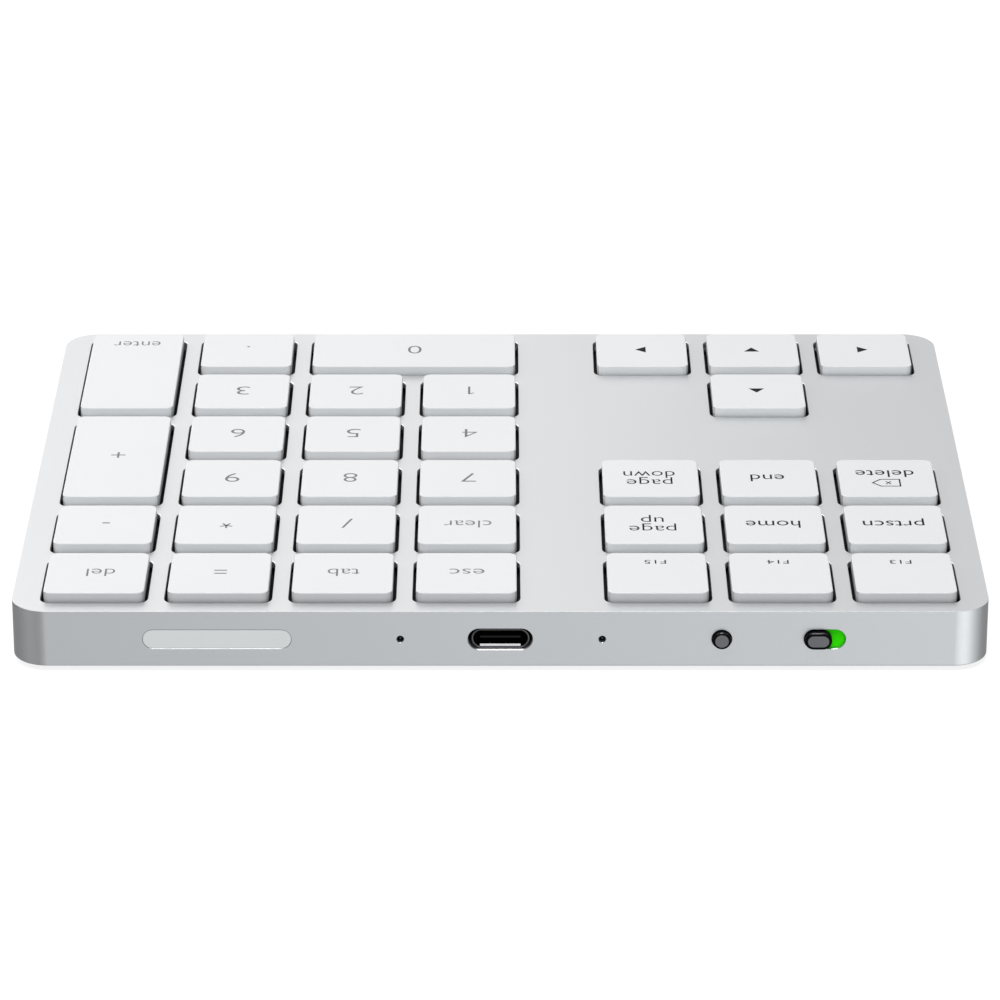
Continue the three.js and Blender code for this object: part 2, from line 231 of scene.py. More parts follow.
def settle(holder, name, look, smooth=SMOOTH_ANGLE):
    """Turns an object, with its curve or modifiers, into a plain mesh object."""
    bpy.context.view_layer.update()
    seen = holder.evaluated_get(bpy.context.evaluated_depsgraph_get())
    mesh = bpy.data.meshes.new_from_object(seen)
    bpy.data.objects.remove(holder)
    mesh.name = name
    mesh.materials.clear()
    mesh.materials.append(look)
    return link(name, mesh, smooth)


def link(name, mesh, smooth=SMOOTH_ANGLE):
    """A mesh object, smooth but for its hard edges."""
    mesh.shade_smooth()
    mesh.set_sharp_from_angle(angle=math.radians(smooth))
    return show(name, mesh)


def shape(name, bm, look, smooth=SMOOTH_ANGLE):
    """A mesh object from a bmesh whose bodies are all closed."""
    bmesh.ops.recalc_face_normals(bm, faces=bm.faces)
    mesh = bpy.data.meshes.new(name)
    bm.to_mesh(mesh)
    bm.free()
    mesh.materials.append(look)
    return link(name, mesh, smooth)


def block(name, look, low, high, edge=0.05 * MM):
    """A piece that is one box with soft edges."""
    bm = bmesh.new()
    brick(bm, low, high, edge)
    return shape(name, bm, look)


def add(name, bm, look, slot_name=None, *stands_for):
    """A piece from a bmesh that stays with the case."""
    return place(shape(name, bm, look), slot_name, *stands_for)


def sheet(node, name, look, corner, edge, thickness=None, steps=6, edge_steps=2):
    """A flat piece with round corners that fills a node's footprint, from its underside up."""
    low, high, centre, size = box(node)
    top = low.z + thickness if thickness else high.z
    bm = bmesh.new()
    stack(bm, lying, centre, (size.x, size.y), corner, pillow(low.z, top, edge, edge_steps), steps)
    return shape(name, bm, look)


def carve(piece, cutters, smooth=SMOOTH_ANGLE):
    """Cuts closed bodies out of a piece."""
    look = piece.data.materials[0]
    tool = shape("cutters", cutters, look)
    cut = piece.modifiers.new("cut", "BOOLEAN")
    cut.operation = "DIFFERENCE"
    cut.solver = "EXACT"
    cut.object = tool
    name = piece.name
    piece.name = "uncut"
    done = settle(piece, name, look, smooth)
    bpy.data.objects.remove(tool)
    return done


def repaint(piece, look, chosen):
    """Gives another material to the faces whose centre and normal pass a test."""
    piece.data.materials.append(look)
    for polygon in piece.data.polygons:
        if chosen(polygon.center, polygon.normal):
            polygon.material_index = len(piece.data.materials) - 1


def even(piece):
    """Weighted normals keep wide faces flat beside small round edges."""
    weigh = piece.modifiers.new("even", "WEIGHTED_NORMAL")
    weigh.keep_sharp = True
    weigh.weight = 100
    return piece


def place(piece, slot_name=None, *stands_for, body="case"):
    """Fixes a piece to a body and hides the nodes it replaces. The slot it may be swapped by is not used."""
    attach(piece, body)
    if stands_for:
        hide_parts(*stands_for)
    return piece


# ------------------------ materials


def feed(socket, value):
    """Sets a shader node's socket, or links it to another node's output."""
    if isinstance(value, bpy.types.NodeSocket):
        socket.id_data.links.new(value, socket)
    else:
        socket.default_value = value


def fill(node, **sockets):
    """Feeds a shader node's sockets by name, with _ for each space in a name."""
    for name, value in sockets.items():
        feed(node.inputs[name.replace("_", " ")], value)
    return node


def reckon(nodes, kind, operation, *values):
    """A math node fed with values in the order of its sockets."""
    node = nodes.new(kind)
    node.operation = operation
    for socket, value in zip(node.inputs, values):
        feed(socket, value)
    return node


class Look:
    """A Principled material whose grain, tone and bump come from noise in the piece's own coordinates."""

    def __init__(self, name, colour, roughness, metallic=0.0, **sockets):
        self.material = bpy.data.materials.new(name)
        self.material.use_nodes = True
        self.nodes = self.material.node_tree.nodes
        self.shader = self.nodes["Principled BSDF"]
        fill(self.shader, Base_Color=(*colour, 1), Roughness=roughness, Metallic=metallic, **sockets)
        self.where = self.nodes.new("ShaderNodeTexCoord").outputs["Object"]

    def noise(self, scale, detail=2.0, stretch=(1, 1, 1)):
        mapping = fill(self.nodes.new("ShaderNodeMapping"), Scale=stretch, Vector=self.where)
        texture = self.nodes.new("ShaderNodeTexNoise")
        return fill(texture, Scale=scale, Detail=detail, Vector=mapping.outputs["Vector"]).outputs["Fac"]

    def span(self, value, low, high, start=0.3, end=0.7):
        ramp = self.nodes.new("ShaderNodeMapRange")
        return fill(ramp, From_Min=start, From_Max=end, To_Min=low, To_Max=high, Value=value).outputs["Result"]

    def tone(self, value, first, second):
        """Base colour between two colours."""
        mix = self.nodes.new("ShaderNodeMix")
        mix.data_type = "RGBA"
        fill(mix, A=(*first, 1), B=(*second, 1), Factor=self.span(value, 0, 1))
        fill(self.shader, Base_Color=mix.outputs["Result"])

    def polish(self, value, low, high):
        """Roughness between two values."""
        fill(self.shader, Roughness=self.span(value, low, high))

    def bump(self, value, height, strength=1.0):
        bump = fill(self.nodes.new("ShaderNodeBump"), Strength=strength, Distance=height, Height=value)
        fill(self.shader, Normal=bump.outputs["Normal"])


def plastic(name, colour, rough, tint=0.03, grain=6000, height=0.004 * MM, metallic=0.0, **sockets):
    """Moulded or metal surface with a fine grain and a slow drift in tone."""
    look = Look(name, colour, rough, metallic, **sockets)
    look.tone(look.noise(60, 3), colour, tuple(c * (1 - tint) for c in colour))
    fine = look.noise(grain, 2)
    look.polish(fine, rough * 0.92, rough * 1.1)
    look.bump(fine, height)
    return look.material


def brushed(name, colour, rough, stretch=(1, 40, 1)):
    """Rolled sheet or drawn wire, with its lines along one direction."""
    look = Look(name, colour, rough, 1.0)
    lines = look.noise(900, 3, stretch)
    look.tone(lines, colour, tuple(c * 0.86 for c in colour))
    look.polish(lines, rough * 0.8, rough * 1.25)
    look.bump(lines, 0.004 * MM, 0.5)
    return look.material


def add_tracks(look, scale, width, length, edge):
    """Straight tracks in both directions: 1 on a track and 0 beside it."""
    lines = [look.span(look.noise(scale, 0, stretch), 0, 1, edge, edge + 0.02)
             for stretch in ((width, length, 1), (length, width, 1))]
    return reckon(look.nodes, "ShaderNodeMath", "MAXIMUM", *lines).outputs[0]


def printed_film():
    """Clear film over silver tracks that run in both directions."""
    look = Look("printed_film", (0.72, 0.75, 0.78), 0.3)
    tracks = add_tracks(look, 160, 8, 0.15, 0.62)
    look.tone(look.span(tracks, 0.3, 0.7, 0, 1), (0.74, 0.77, 0.8), (0.42, 0.44, 0.47))
    look.polish(tracks, 0.25, 0.5)
    return look.material


def circuit():
    """Green solder mask with faint tracks beneath it."""
    look = Look("solder_mask", (0.02, 0.16, 0.07), 0.35, Coat_Weight=0.4, Coat_Roughness=0.15)
    tracks = add_tracks(look, 420, 4, 0.2, 0.56)
    look.tone(look.span(tracks, 0.3, 0.7, 0, 1), (0.012, 0.11, 0.05), (0.03, 0.24, 0.1))
    look.bump(tracks, 0.02 * MM)
    return look.material


def blasted_aluminium():
    """Bead-blasted, silver anodised: a fine sparkle of tiny dents over an even satin."""
    look = Look("blasted_aluminium", (0.82, 0.83, 0.84), 0.4, 1.0)
    grit = look.noise(5200, 3)
    drift = look.noise(14, 2)
    look.tone(drift, (0.817, 0.828, 0.84), (0.832, 0.842, 0.852))
    look.polish(grit, 0.36, 0.46)
    look.bump(grit, 0.006 * MM, 0.6)
    return look.material


ALUMINIUM = blasted_aluminium()
CAP_GRAIN = (0.015, 7000, 0.003 * MM)
KEY_WHITE = plastic("key_white", (0.724, 0.73, 0.739), 0.42, *CAP_GRAIN)
# Painted light: a copy of the key white, tuned on its own to set how bright the sides of the inner keys look.
KEY_SIDE_PAINTED_LIGHT = plastic("key_side_painted_light", (0.712, 0.728, 0.743), 0.45, *CAP_GRAIN)
# Painted shade: a darker copy of the key white for the sides of the keys in the row by the rear wall.
KEY_REAR_ROW_PAINTED_SHADE = plastic("key_rear_row_painted_shade", (0.556, 0.566, 0.581), 0.45, *CAP_GRAIN)
# Painted shade: a much darker copy of the key white for the left and right flanks of the keys, standing in for
# the shade in the gaps between them.
KEY_FLANK_PAINTED_SHADE = plastic("key_flank_painted_shade", (0.38, 0.39, 0.4), 0.45, *CAP_GRAIN)
INK_GREY = plastic("ink_grey", (0.2, 0.205, 0.215), 0.7, 0.1, Specular_IOR_Level=0.15)
INK_DARK = plastic("ink_dark", (0.012, 0.0125, 0.014), 0.7, 0.1, Specular_IOR_Level=0.15)
WINDOW = plastic("window_plastic", (0.635, 0.655, 0.663), 0.38, 0.02, 5000, 0.003 * MM)
BLACK = plastic("black_plastic", (0.005, 0.005, 0.006), 0.35, 0.2, Specular_IOR_Level=0.2)
BUTTON_SIDE = plastic("button_side", (0.003, 0.003, 0.004), 0.3, 0.2, IOR=1.12, Specular_IOR_Level=0.5)
# Painted glint: a more reflective copy of the button black, put only on the upper part of a button's rounded
# edge.
BUTTON_TOP_PAINTED_GLINT = plastic("button_top_painted_glint", (0.003, 0.003, 0.004), 0.18, 0.1, IOR=1.5)
CUT_EDGE = plastic("cut_edge", (0.3, 0.303, 0.306), 0.3, 0.03, metallic=1.0)
BUTTON_FACE = plastic("button_face", (0.13, 0.135, 0.145), 0.45, 0.12, 1500, 0.02 * MM)
GREEN = plastic("green_plastic", (0.034, 0.8, 0), 0.45, 0.08, Specular_IOR_Level=0.04)
LENS = plastic("dark_lens", (0.002, 0.002, 0.003), 0.08, 0.1, IOR=1.15)
# Painted glint: a small grey dot on the end of each light pipe.
LENS_PAINTED_GLINT = plastic("lens_core", (0.06, 0.063, 0.066), 0.3, 0.1)
STEEL = brushed("plate_steel", (0.5, 0.5, 0.51), 0.35)
WIRE_STEEL = brushed("wire_steel", (0.58, 0.58, 0.6), 0.22, (40, 1, 40))
PORT_STEEL = brushed("port_steel", (0.12, 0.12, 0.125), 0.16, (20, 1, 1))
SPRING_STEEL = brushed("spring_steel", (0.062, 0.062, 0.065), 0.16, (20, 1, 1))
TINPLATE = brushed("tinplate", (0.6, 0.61, 0.62), 0.25, (1, 12, 1))
GOLD = plastic("gold_contact", (0.75, 0.52, 0.18), 0.25, 0.1, metallic=1.0)
SILICONE = plastic("silicone", (0.8, 0.81, 0.82), 0.5, 0.03, 2500, Transmission_Weight=0.15)
LINK_BLACK = plastic("link_plastic", (0.014, 0.014, 0.015), 0.45)
RUBBER = plastic("foot_rubber", (0.07, 0.072, 0.077), 0.75, 0.15, 2200, 0.02 * MM)
FOIL = plastic("battery_foil", (0.62, 0.63, 0.64), 0.3, 0.05, 700, 0.03 * MM, metallic=0.85)
TAPE = plastic("polyimide_tape", (0.5, 0.26, 0.03), 0.25, 0.15)
# Painted shade: a black film under the keys, which makes the wells round them dark.
PAINTED_SHADE_FILM = plastic("painted_shade_film", (0.008, 0.008, 0.009), 0.5, 0.2, 1500, 0.01 * MM, Specular_IOR_Level=0.2)
WIRE_RED = plastic("red_insulation", (0.5, 0.02, 0.015), 0.4, 0.1)
FILM = printed_film()
CIRCUIT = circuit()

# ------------------------ case

CASE_CORNER, COVER_CORNER = mm(5.5, 4.1)
CASE_WALL, CASE_RIM, CASE_SKIN = mm(2, 1.2, 1)      # side walls, their thin foot round the cover, and the top
CASE_STEP_Z = 1.95 * MM                             # where the walls step from thick to thin
CASE_TOP_EDGE, CASE_BOTTOM_EDGE = mm(0.025, 0.16)
COVER_THICKNESS = 1 * MM
SLOT_GAP, SLOT_CORNER, SLOT_FLARE = mm(0.53, 1.75, 0.05)     # the openings round the keys
USB_MOUTH, BUTTON_HOLE, POWER_SLOT, LIGHT_HOLE = mm(9.84, 3.42), mm(3.08, 3.08), mm(6.36, 3.2), mm(1.1, 1.1)
WINDOW_GAP = mm(0.06, 0.04)
PORT_DROP = 0.09 * MM                               # how much lower than in the frame the ports stand
HEAT_STAKES = ((-9.5, 20), (-9.5, -20), (-52.8, -9.3), (-43.3, -9.3))      # from the case's middle, in mm
STANDOFFS = ((-54, 36), (54, 36), (-20, 36), (20, 36))


def port_middle(node):
    """Where a port's piece stands on the rear wall, in X and Z."""
    centre = centre_of(node)
    return centre.x, centre.z - PORT_DROP


def rear_openings():
    """(centre in X and Z, width and height, flare) of each cut-out in the rear wall."""
    _, _, _, window = box("antenna_window")
    yield port_middle("antenna_window"), (window.x + WINDOW_GAP[0], window.z + WINDOW_GAP[1]), 0.05 * MM
    for node in LIGHT_PIPES:
        yield port_middle(node), LIGHT_HOLE, 0.06 * MM
    yield port_middle("usb_shell"), USB_MOUTH, 0.11 * MM
    yield port_middle("pairing_button"), BUTTON_HOLE, 0.07 * MM
    yield port_middle("power_on_indicator"), POWER_SLOT, 0.07 * MM


def flared(start, face, flare):
    """A cutter's profile from inside a wall: it widens just under the face that it comes out of."""
    return [(0, start), (0, face - flare), (-flare, face), (-flare, face + 1 * MM)]


def make_top_case():
    low, high, centre, size = box("top_case")
    ceiling = high.z - CASE_SKIN
    profile = [(CASE_WALL, ceiling), (CASE_WALL, CASE_STEP_Z), (CASE_RIM, CASE_STEP_Z), (CASE_RIM, low.z)]
    profile += rounded(high.z, low.z, CASE_BOTTOM_EDGE)[:0:-1]
    profile += rounded(low.z + CASE_BOTTOM_EDGE, high.z, CASE_TOP_EDGE)[1:]
    bm = bmesh.new()
    stack(bm, lying, centre, (size.x, size.y), CASE_CORNER, profile, steps=16)
    case = shape("top_case_shell", bm, ALUMINIUM)

    cutters = bmesh.new()
    through = flared(ceiling - 1 * MM, high.z, SLOT_FLARE)
    for node in KEY_NODES:
        _, _, key_centre, key = box(node)
        opening = (key.x + 2 * SLOT_GAP, key.y + 2 * SLOT_GAP)
        stack(cutters, lying, key_centre, opening, SLOT_CORNER, through, steps=5)
    for middle, opening, flare in rear_openings():
        through = flared(high.y - CASE_WALL - 0.5 * MM, high.y, flare)
        stack(cutters, upright, middle, opening, min(opening) / 2, through, steps=8)
    case = even(carve(case, cutters, 40))

    near_face, near_corner = high.y - 0.2 * MM, size.x / 2 - 6 * MM
    ports_z = centre_of("usb_shell").z

    def cut_edge(spot, normal):
        return (spot.y > near_face and abs(normal.y) < 0.95
                and abs(spot.z - ports_z) < 2.1 * MM and abs(spot.x) < near_corner)

    repaint(case, CUT_EDGE, cut_edge)
    place(case, "aluminium", "top_case")
    for k, (x, y) in enumerate(HEAT_STAKES):
        make_heat_stake(f"heat_stake_{k}", (x * MM, y * MM + centre.y), ceiling)


def make_heat_stake(name, spot, ceiling):
    """A stake under the top whose melted head holds the support plate from below."""
    plate_z = box("support_plate")[0].z
    stem, neck, head, foot = mm(0.88, 1.3, 1.4, 1.25)
    bm = bmesh.new()
    turned(bm, spot, [(foot, plate_z - 0.5 * MM), (head, plate_z - 0.3 * MM), (neck, plate_z - 0.05 * MM),
                      (stem, plate_z - 0.04 * MM), (stem, ceiling)], 20)
    add(name, bm, ALUMINIUM)


def make_bottom():
    low, high, centre, _ = box("bottom_cover")
    cover = sheet("bottom_cover", "bottom_cover_plate", ALUMINIUM, COVER_CORNER, 0.15 * MM, COVER_THICKNESS,
                  12, 3)
    cutters = bmesh.new()
    feet = [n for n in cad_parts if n.startswith("foot_")]
    for node in feet:
        _, foot_high, foot_centre, foot_size = box(node)
        radius, roof = foot_size.x / 2 + 0.1 * MM, foot_high.z + 0.05 * MM
        mouth = radius + 0.1 * MM
        turned(cutters, foot_centre, [(mouth, low.z - 1 * MM), (mouth, low.z), (radius, low.z + 0.1 * MM),
                                      (radius, roof)], 48)
    cover = even(carve(cover, cutters, 40))
    place(cover, "cover", "bottom_cover")
    top = low.z + COVER_THICKNESS
    base, post, tip = mm(2.2, 1.8, 1.7)
    for k, (x, y) in enumerate(STANDOFFS):
        bm = bmesh.new()
        turned(bm, (x * MM, y * MM + centre.y), [(base, top - 0.1 * MM), (post, top + 0.3 * MM),
                                                 (post, high.z - 0.1 * MM), (tip, high.z)], 24)
        add(f"standoff_{k}", bm, ALUMINIUM)
    for node in feet:
        make_foot(node)


def make_foot(node):
    low, high, centre, size = box(node)
    radius = size.x / 2 - SKIN
    edge, bevel = mm(0.3, 0.1)
    profile = [(radius * 0.35, low.z)]
    profile += [(radius - inset, z) for inset, z in rounded(high.z, low.z, edge)[:0:-1]]
    profile += [(radius, high.z - bevel), (radius - bevel, high.z)]
    bm = bmesh.new()
    turned(bm, centre, profile, 48)
    place(even(shape(f"{node}_pad", bm, RUBBER)), "foot_rubber", node)


# ------------------------ keys

KEY_CORNER, KEY_EDGE = mm(1.3, 0.17)
CAP_WALL, CAP_ROOF = mm(0.9, 1)
PLUNGER_R = 1.6 * MM
CLIP_SPOT, CLIP_HALF = mm(4.9, 3.9), mm(0.35, 0.5)      # the clips for a pair of links, from the pair's middle
LINKS_APART = 9 * MM                                    # from a long key's middle to each of its two pairs


def link_spots(node):
    """Where pairs of links stand under a key: one in the middle, or two along a long key."""
    _, _, centre, size = box(node)
    if node not in LONG_KEYS:
        return [(centre.x, centre.y)]
    if size.x > size.y:
        return [(centre.x - LINKS_APART, centre.y), (centre.x + LINKS_APART, centre.y)]
    return [(centre.x, centre.y - LINKS_APART), (centre.x, centre.y + LINKS_APART)]


def make_keycap(node):
    """A hollow cap with a round top edge; inside are a plunger over the dome and the clips for its links."""
    low, high, centre, size = box(node)
    ceiling = high.z - CAP_ROOF
    profile = [(CAP_WALL, ceiling), (CAP_WALL, low.z), (0.05 * MM, low.z), (SKIN, low.z + 0.1 * MM)]
    profile += rounded(low.z + 0.2 * MM, high.z - SKIN, KEY_EDGE, SKIN, 4)[1:]
    bm = bmesh.new()
    stack(bm, lying, centre, (size.x, size.y), KEY_CORNER, profile, steps=7)
    turned(bm, centre, [(PLUNGER_R, ceiling + 0.2 * MM), (PLUNGER_R, ceiling - 0.02 * MM)], 20)
    for x, y in link_spots(node):
        for sx, sy in CORNERS:
            clip = (x + sx * CLIP_SPOT[0], y + sy * CLIP_SPOT[1])
            peg(bm, clip, CLIP_HALF, (ceiling - 0.55 * MM, ceiling + 0.1 * MM))
    cap = even(shape(f"{node}_cap", bm, KEY_WHITE, 50))
    # Painted light and shade on the sides of the keys: a tuned copy of the key white on the inner keys, a
    # darker copy on the row by the rear wall.
    side = KEY_REAR_ROW_PAINTED_SHADE if high.y > box("key_esc")[0].y else KEY_SIDE_PAINTED_LIGHT
    repaint(cap, side, lambda _, normal: abs(normal.z) < 0.3)
    # Painted shade on the left and right flanks of every key.
    repaint(cap, KEY_FLANK_PAINTED_SHADE, lambda _, normal: abs(normal.z) < 0.5 and abs(normal.x) > 0.8)
    place(cap, "keycap", node, body=node)


LEGEND_RISE = 0.004 * MM
# kind of lettering: size, how much its strokes are thinned on each side
LETTERING = {"small": (2.05, 0.005), "bold": (4.05, 0.01), "word": (4.05, 0.03), "digit": (5.16, 0.06),
             "sign": (5.16, 0.04)}
DARK_KEYS = ("f13", "f14", "f15", "prtscn", "home", "end", "page_up", "page_down", "delete")
WORD_LINE, DIGIT_LINE, SIGN_LINE = -1.47, -1.96, -2.15
# What each key has printed on it: (text, kind, width, baseline) of each line, in millimetres on the key top,
# the baseline measured from the key's middle towards the rear. A q stands for a g: make_hook adds its tail, as
# the lettering's own g has a closed lower bowl. make_one and the functions after it draw what is missing here.
LEGENDS = {name: [(name, "word", width, WORD_LINE)] for name, width in (
    ("esc", 5.4), ("tab", 5), ("del", 4.4), ("clear", 7.5))}
LEGENDS.update({name: [(name, "bold", width, WORD_LINE + 0.08)] for name, width in (
    ("prtscn", 9.7), ("home", 8.6), ("end", 5.45))})
LEGENDS.update({name: [(name.upper(), "small", 3.35, -4.75)] for name in ("f13", "f14", "f15")})
LEGENDS.update({name: [(name, "digit", width, DIGIT_LINE)] for name, width in (
    ("0", 2.35), ("2", 2.4), ("3", 2.2), ("4", 2.5), ("5", 2.25), ("6", 2.35), ("7", 2.45), ("8", 2.25),
    ("9", 2.35))})
LEGENDS.update({name: [(mark, "sign", width, line)] for name, mark, width, line in (
    ("equals", "=", 1.95, SIGN_LINE), ("divide", "/", 1.75, SIGN_LINE), ("plus", "+", 2.35, SIGN_LINE + 0.1),
    ("minus", "-", 1.15, -1.68), ("decimal", ".", 0.5, -1.8))})
LEGENDS["delete"] = [("delete", "bold", 9.4, -3.12)]
LEGENDS["enter"] = [("enter", "word", 8, -13.3)]
LEGENDS["page_up"] = [("paqe", "word", 7.4, 0.6), ("up", "word", 3.6, -2.75)]
LEGENDS["page_down"] = [("paqe", "word", 7.4, 0.6), ("down", "word", 8.3, -2.75)]
PRINT_SHIFT = {"del": 0.62, "1": 0.17, "4": 0.2, "enter": -0.12}


def printed_at(key):
    """Where a key's print is centred in X, and its ink."""
    middle = centre_of(f"key_{key}").x
    if key in DARK_KEYS or key.startswith("arrow"):
        return middle + 0.2 * MM, INK_DARK
    return middle - PRINT_SHIFT.get(key, 0.07) * MM, INK_GREY


def print_shape(key, name, ink, loops):
    """A printed mark: flat closed outlines a hair thick, lying on the key top."""
    _, high, _, _ = box(f"key_{key}")
    levels = (high.z - SKIN - LEGEND_RISE / 2, high.z - SKIN + LEGEND_RISE)
    bm = bmesh.new()
    for loop in loops:
        skin(bm, [[(x, y, level) for x, y in loop] for level in levels])
    place(shape(name, bm, ink), body=f"key_{key}")


def stroke(start, end, width):
    """The four corners of a straight stroke."""
    start, end = Vector(start), Vector(end)
    along = (end - start).normalized()
    side = Vector((-along.y, along.x)) * width / 2
    return [start + side, start - side, end - side, end + side]


def make_legend(key):
    """Thin printed letters on a key, read from the user's side."""
    node = f"key_{key}"
    _, high, centre, _ = box(node)
    middle_x, ink = printed_at(key)
    for n, (text, kind, width, line) in enumerate(LEGENDS[key]):
        size, thin = LETTERING[kind]
        curve = bpy.data.curves.new(f"legend_{key}", "FONT")
        curve.body = text
        curve.size = size * MM
        curve.offset = -thin * MM
        curve.resolution_u = 4
        curve.extrude = LEGEND_RISE / 2
        name = f"legend_{key}_{n}" if n else f"legend_{key}"
        piece = settle(show(f"{name}_text", curve), name, ink)
        across = [v.co.x for v in piece.data.vertices]
        left, right = min(across), max(across)
        lift = high.z - SKIN + LEGEND_RISE / 2
        piece.data.transform(Matrix.Translation((middle_x, centre.y + line * MM, lift))
                             @ Matrix.Diagonal((width * MM / (right - left), 1, 1, 1))
                             @ Matrix.Translation((-(left + right) / 2, 0, 0)))
        place(piece, body=node)
        if "q" in text:
            make_hook(key, piece, ink)


def make_hook(key, letters, ink):
    """The tail that turns a word's q into a g with an open bowl."""
    spots = [v.co for v in letters.data.vertices]
    foot = min(spot.y for spot in spots)
    middle = sum(spot.x for spot in spots) / len(spots)
    stem = [spot.x for spot in spots if spot.y < foot + 0.05 * MM and spot.x > middle]
    line, reach = 0.3 * MM, 1.05 * MM
    tip = min(stem) - reach
    print_shape(key, f"{letters.name}_hook", ink,
                [[(max(stem), foot), (max(stem), foot + line), (tip, foot + line),
                  (tip - 0.1 * MM, foot + line * 0.3), (tip, foot)]])


def make_one():
    """The figure 1, a bare stem and a flag."""
    x, ink = printed_at("1")
    foot = centre_of("key_1").y + DIGIT_LINE * MM
    top, stem, reach = foot + 3.36 * MM, 0.38 * MM, 0.62 * MM
    print_shape("1", "legend_1", ink,
                [[(x, foot), (x + stem, foot), (x + stem, top), (x + stem * 0.2, top),
                  (x - reach, top - 0.42 * MM), (x - reach, top - 0.72 * MM), (x, top - 0.36 * MM)]])


def make_asterisk():
    """Five short rays."""
    x, ink = printed_at("multiply")
    middle = Vector((x, centre_of("key_multiply").y + 0.5 * MM))
    rays = []
    for k in range(5):
        turn = math.radians(90 + 72 * k)
        rays.append(stroke(middle, middle + Vector((math.cos(turn), math.sin(turn))) * MM, 0.3 * MM))
    print_shape("multiply", "legend_multiply", ink, rays)


def make_arrow(key, direction):
    """A solid triangle pointing along a direction in the key's plane."""
    x, ink = printed_at(key)
    along = Vector(direction)
    across = Vector((-along.y, along.x))
    middle = Vector((x, centre_of(f"key_{key}").y - 0.22 * MM))
    length, half = 0.9 * MM, 1.32 * MM
    print_shape(key, f"legend_{key}", ink,
                [[middle + along * length, middle - along * length + across * half,
                  middle - along * length - across * half]])


def make_erase_symbol():
    """The pentagon with a cross that stands above the word on the delete key, pointing to the user's right."""
    x, ink = printed_at("delete")
    y = centre_of("key_delete").y + 1.95 * MM
    half_w, half_h, nose, line = mm(2.2, 1.38, 1.3, 0.25)
    corners = [Vector((x + cx, y + cy)) for cx, cy in (
        (-half_w, -half_h), (half_w - nose, -half_h), (half_w, 0), (half_w - nose, half_h), (-half_w, half_h))]
    loops = []
    for a, b in zip(corners, corners[1:] + corners[:1]):
        past = (b - a).normalized() * line * 0.4
        loops.append(stroke(a - past, b + past, line))
    middle = Vector((x - 0.35 * MM, y))
    for slope in SIDES:
        arm = Vector((0.42 * MM, slope * 0.56 * MM))
        loops.append(stroke(middle - arm, middle + arm, line * 0.8))
    print_shape("delete", "legend_erase_symbol", ink, loops)


# ------------------------ under the keys

LINK_LENGTH = 8.2 * MM
LINK_PINS = mm(8.2, 10.1)               # levels of the lower and the upper pins
LINK_TILT = math.asin((LINK_PINS[1] - LINK_PINS[0]) / LINK_LENGTH)
SHEET_CORNER = 3 * MM
WIRE_R = 0.34 * MM


def make_dome(node):
    """One rubber dome on its pad."""
    low, high, _, _ = box("dome_sheet")
    centre = centre_of(node)
    z0, z1 = low.z, high.z - 0.05 * MM
    roof = z1 - 0.9 * MM
    inside = [(0.3 * MM, roof), (1 * MM, roof), (2.1 * MM, z0 + 0.35 * MM), (2.3 * MM, z0)]
    pad = [(3.2 * MM, z0), (3.2 * MM, z0 + 0.12 * MM), (2.75 * MM, z0 + 0.2 * MM), (2.45 * MM, z0 + 0.5 * MM)]
    cap = [(1.5 * MM, z1 - 0.75 * MM), (1.4 * MM, z1 - 0.4 * MM), (1.45 * MM, z1 - 0.08 * MM), (1.35 * MM, z1)]
    bm = bmesh.new()
    turned(bm, centre, inside + pad + cap, 28)
    dome = add(f"dome_{node[4:]}", bm, SILICONE, "silicone", "dome_sheet")
    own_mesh(dome)


def link_frame(bm, spot, width, tilt):
    """A rectangular frame of a link, tilted about X."""
    bar, half_thick, corner = mm(0.85, 0.275, 0.9)
    made = stack(bm, lying, (0, 0), (width, LINK_LENGTH), corner,
                 [(0, -half_thick), (0, half_thick), (bar, half_thick), (bar, -half_thick)], 3, closed=True)
    turn = Matrix.Translation((*spot, sum(LINK_PINS) / 2)) @ Matrix.Rotation(tilt, 4, "X")
    for ring in made:
        for vertex in ring:
            vertex.co = turn @ vertex.co


def make_links(node):
    """Each pair is a wide frame and a narrow one, crossed on two pins of the narrow one."""
    middle = sum(LINK_PINS) / 2
    pin_spot, pin_r = mm(4.6, 0.22)
    for k, spot in enumerate(link_spots(node)):
        for part, width, angle in (("outer", 11 * MM, LINK_TILT), ("inner", 8.6 * MM, -LINK_TILT)):
            bm = bmesh.new()
            link_frame(bm, spot, width, angle)
            if part == "inner":
                for side in SIDES:
                    peg(bm, (spot[0] + side * pin_spot, spot[1]), (0.4 * MM, pin_r),
                        (middle - pin_r, middle + pin_r), 0.08 * MM)
            piece = add(f"link_{part}_{node[4:]}_{k}", bm, LINK_BLACK)
            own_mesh(piece)


def make_stabiliser(name, along):
    """Spring wire with a long side in the key's hooks and an arm at each end."""
    node = f"stabiliser_{name}"
    low, high, _, _ = box(node)
    inset, bend = mm(0.35, 0.9)
    i, j = (0, 1) if along == "x" else (1, 0)

    def at(end, side, z):
        point = [0, 0, z]
        point[i] = (low, high)[end][i] + (inset, -inset)[end]
        point[j] = (low, high)[side][j] + (inset * 1.4, -inset)[side]
        return Vector(point)

    z0, z1 = low.z + inset, high.z - inset
    corners = [at(0, 0, z0), at(0, 1, z1), at(1, 1, z1), at(1, 0, z0)]
    path = [corners[0]]
    for before, corner, after in zip(corners, corners[1:], corners[2:]):
        start = corner + (before - corner).normalized() * bend
        end = corner + (after - corner).normalized() * bend
        for step in range(7):
            t = step / 6
            path.append(start * (1 - t) ** 2 + corner * 2 * t * (1 - t) + end * t ** 2)
    path.append(corners[3])
    bar = wire(f"{node}_wire", path, WIRE_R, WIRE_STEEL, smooth_corners=False)
    place(bar, "bar_steel", node, body=node)


